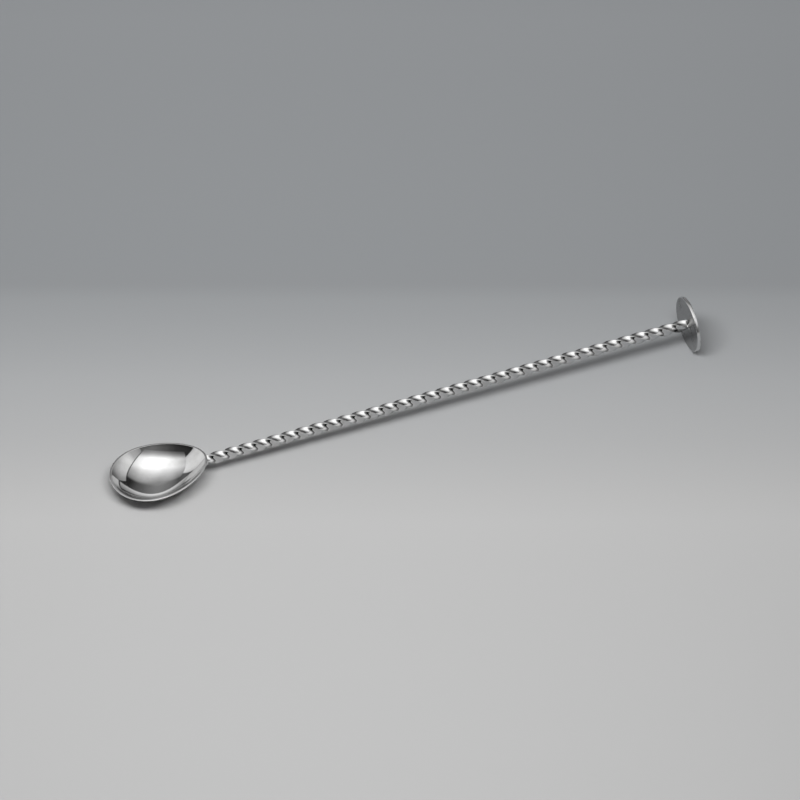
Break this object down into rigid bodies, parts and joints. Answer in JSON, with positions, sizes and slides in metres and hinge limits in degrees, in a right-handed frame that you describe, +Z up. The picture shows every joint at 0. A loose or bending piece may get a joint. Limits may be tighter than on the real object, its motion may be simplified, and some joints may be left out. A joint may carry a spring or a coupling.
{
  "type": "bar spoon",
  "caption": "Long bar spoon: an egg-shaped pressed bowl on a twisted square stem that ends in a flat round muddling disc.",
  "frame": {"origin": "on the table under the middle of the resting spoon's box", "axes": "+X along the spoon from the bowl to the disc, +Z up from the table, +Y to the left seen from the bowl; the stem rises 1.3 degrees from the bowl to the disc"},
  "size_m": [0.2702, 0.0348, 0.025],
  "materials": {
    "bowl_steel": "mirror-polished stainless steel",
    "stem_steel": "bright-polished stainless steel bar",
    "disc_steel": "mirror-polished stainless steel",
    "weld_steel": "weld metal, ground and polished"
  },
  "bodies": {
    "root": {"bowl": "bowl_steel", "stem": "stem_steel", "muddling_disc": "disc_steel", "bowl_weld": "weld_steel", "disc_weld": "weld_steel"}
  },
  "joints": []
}
